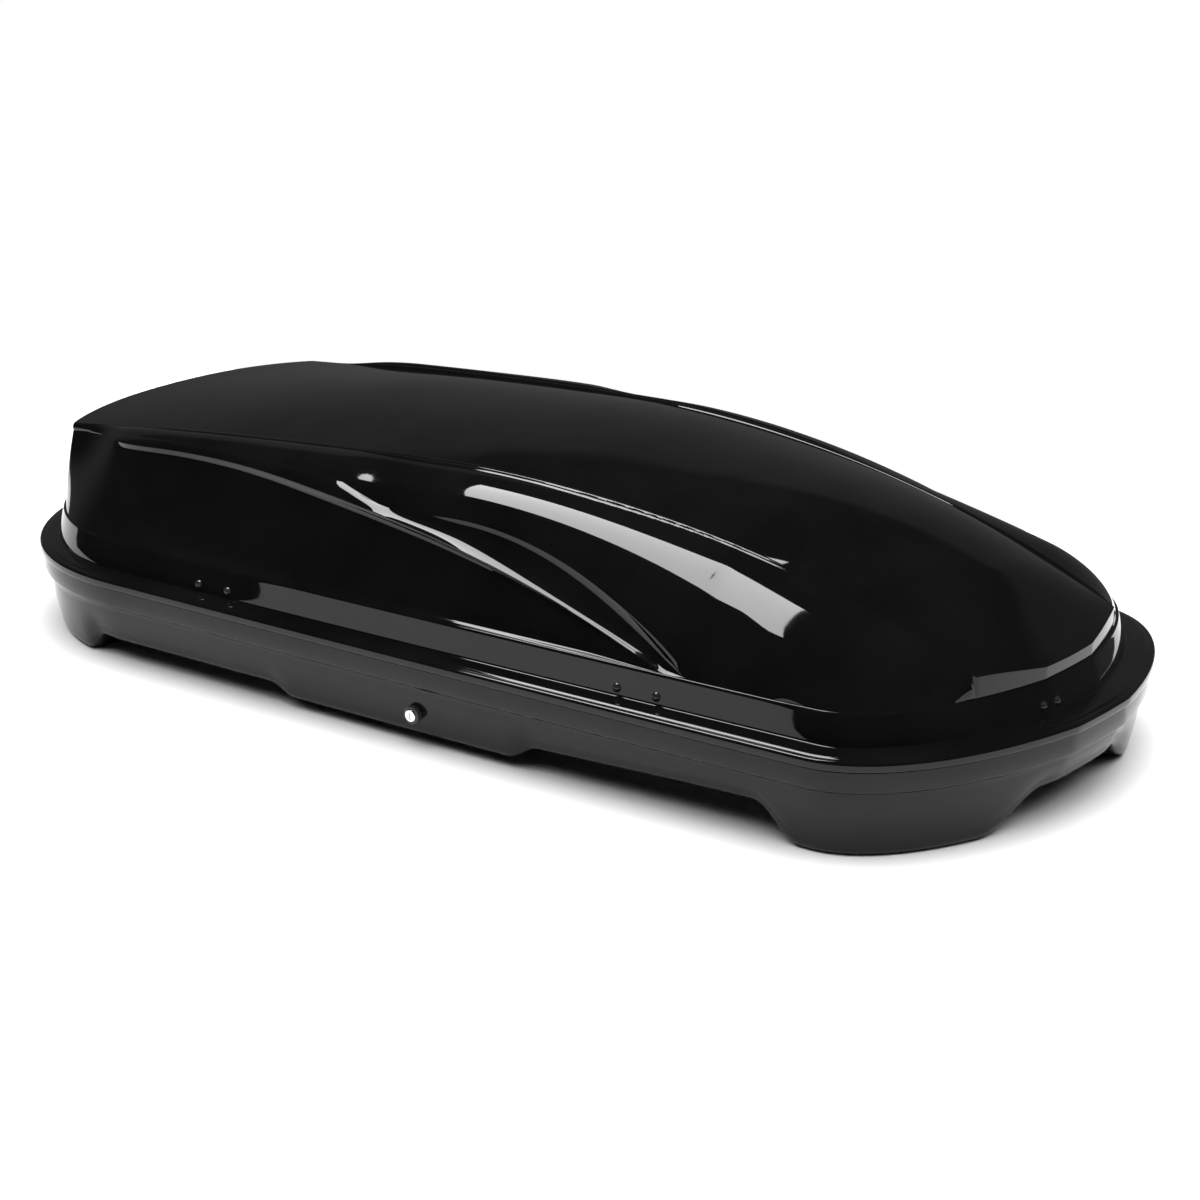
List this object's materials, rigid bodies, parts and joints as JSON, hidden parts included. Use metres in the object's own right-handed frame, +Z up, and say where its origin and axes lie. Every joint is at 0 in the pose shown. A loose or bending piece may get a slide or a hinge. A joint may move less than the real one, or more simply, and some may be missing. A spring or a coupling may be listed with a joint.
{
  "type": "roof cargo box",
  "caption": "Glossy black hinged roof box with wedge nose, side-opening lid, key lock with sliding hook bar, gas struts and crossbar clamps.",
  "frame": {"origin": "bottom centre of the overall box, on the plane of the four feet", "axes": "+X towards the low nose, +Y towards the hinge side, +Z up"},
  "size_m": [1.75, 0.8384, 0.3778],
  "materials": {
    "black_gloss": "black high-gloss vacuum-formed ABS",
    "black_satin": "black semi-gloss vacuum-formed ABS",
    "rubber": "matt black foam rubber",
    "chrome": "bright chrome",
    "rivet": "black lacquered",
    "black_steel": "black powder coat",
    "zinc_steel": "bright zinc plating",
    "black_plastic": "matt black moulded plastic",
    "grey_grip": "dark grey moulded plastic"
  },
  "bodies": {
    "tray": {"tray_shell": "black_satin", "rim_seal": "rubber", "rail_near": "zinc_steel", "rail_far": "zinc_steel", "hinge_rear_tray_leaf": "black_steel", "hinge_front_tray_leaf": "black_steel", "hinge_rear_pin": "zinc_steel", "hinge_front_pin": "zinc_steel", "strut_rear_foot": "black_steel", "strut_front_foot": "black_steel", "lock_barrel": "black_plastic", "lock_housing": "black_plastic", "guide_rear": "black_plastic", "guide_front": "black_plastic", "clamp_rear_near_base": "black_plastic", "clamp_rear_near_hook": "black_steel", "clamp_rear_far_base": "black_plastic", "clamp_rear_far_hook": "black_steel", "clamp_front_near_base": "black_plastic", "clamp_front_near_hook": "black_steel", "clamp_front_far_base": "black_plastic", "clamp_front_far_hook": "black_steel"},
    "lid": {"lid_shell": "black_gloss", "lid_rib_rear": "black_plastic", "lid_rib_front": "black_plastic", "rivet_side_1": "rivet", "rivet_side_2": "rivet", "rivet_side_3": "rivet", "rivet_side_4": "rivet", "rivet_nose_1": "rivet", "rivet_nose_2": "rivet", "hinge_rear_lid_leaf": "black_steel", "hinge_front_lid_leaf": "black_steel", "striker_rear": "zinc_steel", "striker_front": "zinc_steel", "strut_rear_head": "black_steel", "strut_front_head": "black_steel"},
    "lock_core": {"lock_core": "chrome", "lock_cam": "zinc_steel"},
    "lock_bar": {"lock_bar": "black_plastic", "hook_rear": "black_plastic", "hook_front": "black_plastic"},
    "strut_rear_tube": {"strut_rear_tube": "black_steel"},
    "strut_rear_rod": {"strut_rear_rod": "zinc_steel"},
    "strut_front_tube": {"strut_front_tube": "black_steel"},
    "strut_front_rod": {"strut_front_rod": "zinc_steel"},
    "clamp_rear_near_knob": {"clamp_rear_near_knob": "grey_grip"},
    "clamp_rear_near_jaw": {"clamp_rear_near_jaw": "black_steel"},
    "clamp_rear_far_knob": {"clamp_rear_far_knob": "grey_grip"},
    "clamp_rear_far_jaw": {"clamp_rear_far_jaw": "black_steel"},
    "clamp_front_near_knob": {"clamp_front_near_knob": "grey_grip"},
    "clamp_front_near_jaw": {"clamp_front_near_jaw": "black_steel"},
    "clamp_front_far_knob": {"clamp_front_far_knob": "grey_grip"},
    "clamp_front_far_jaw": {"clamp_front_far_jaw": "black_steel"}
  },
  "joints": [
    {"name": "lid_hinge", "type": "hinge", "parent": "tray", "child": "lid", "pos_m": [0, 0.39952, 0.12], "axis": [-0.9994, 0.0352, 0], "range_deg": [0, 50]},
    {"name": "lock_turn", "type": "hinge", "parent": "tray", "child": "lock_core", "pos_m": [0.05497, -0.40179, 0.048], "axis": [-0.0352, 0.9994, 0], "range_deg": [0, 90]},
    {"name": "bar_slide", "type": "slide", "parent": "tray", "child": "lock_bar", "axis": [0.9994, 0.0352, 0], "range_m": [0, 0.018]},
    {"name": "strut_rear_swing", "type": "hinge", "parent": "tray", "child": "strut_rear_tube", "pos_m": [-0.52573, 0.24592, 0.068], "axis": [-0.9994, 0.0352, 0], "range_deg": [0, 15]},
    {"name": "strut_rear_slide", "type": "slide", "parent": "strut_rear_tube", "child": "strut_rear_rod", "axis": [0.0178, 0.5051, 0.8629], "range_m": [0, 0.096]},
    {"name": "strut_front_swing", "type": "hinge", "parent": "tray", "child": "strut_front_tube", "pos_m": [0.27378, 0.21778, 0.068], "axis": [-0.9994, 0.0352, 0], "range_deg": [0, 15]},
    {"name": "strut_front_slide", "type": "slide", "parent": "strut_front_tube", "child": "strut_front_rod", "axis": [0.0178, 0.5051, 0.8629], "range_m": [0, 0.096]},
    {"name": "clamp_rear_near_turn", "type": "hinge", "parent": "tray", "child": "clamp_rear_near_knob", "pos_m": [-0.4, -0.226, 0.06], "axis": [0, 0, 1], "range_deg": [0, 720]},
    {"name": "clamp_rear_near_slide", "type": "slide", "parent": "tray", "child": "clamp_rear_near_jaw", "axis": [-1, 0, 0], "range_m": [0, 0.02]},
    {"name": "clamp_rear_far_turn", "type": "hinge", "parent": "tray", "child": "clamp_rear_far_knob", "pos_m": [-0.4, 0.214, 0.06], "axis": [0, 0, 1], "range_deg": [0, 720]},
    {"name": "clamp_rear_far_slide", "type": "slide", "parent": "tray", "child": "clamp_rear_far_jaw", "axis": [-1, 0, 0], "range_m": [0, 0.02]},
    {"name": "clamp_front_near_turn", "type": "hinge", "parent": "tray", "child": "clamp_front_near_knob", "pos_m": [0.4, -0.226, 0.06], "axis": [0, 0, 1], "range_deg": [0, 720]},
    {"name": "clamp_front_near_slide", "type": "slide", "parent": "tray", "child": "clamp_front_near_jaw", "axis": [-1, 0, 0], "range_m": [0, 0.02]},
    {"name": "clamp_front_far_turn", "type": "hinge", "parent": "tray", "child": "clamp_front_far_knob", "pos_m": [0.4, 0.214, 0.06], "axis": [0, 0, 1], "range_deg": [0, 720]},
    {"name": "clamp_front_far_slide", "type": "slide", "parent": "tray", "child": "clamp_front_far_jaw", "axis": [-1, 0, 0], "range_m": [0, 0.02]}
  ],
  "couplings": [
    {"joint": "bar_slide", "follows": "lock_turn", "m_per_rad": 0.011459},
    {"joint": "strut_rear_swing", "follows": "lid_hinge", "ratio": 0.28585},
    {"joint": "strut_rear_slide", "follows": "lid_hinge", "m_per_rad": 0.10996},
    {"joint": "strut_front_swing", "follows": "lid_hinge", "ratio": 0.28585},
    {"joint": "strut_front_slide", "follows": "lid_hinge", "m_per_rad": 0.10996},
    {"joint": "clamp_rear_near_slide", "follows": "clamp_rear_near_turn", "m_per_rad": 0.0015915},
    {"joint": "clamp_rear_far_slide", "follows": "clamp_rear_far_turn", "m_per_rad": 0.0015915},
    {"joint": "clamp_front_near_slide", "follows": "clamp_front_near_turn", "m_per_rad": 0.0015915},
    {"joint": "clamp_front_far_slide", "follows": "clamp_front_far_turn", "m_per_rad": 0.0015915}
  ]
}
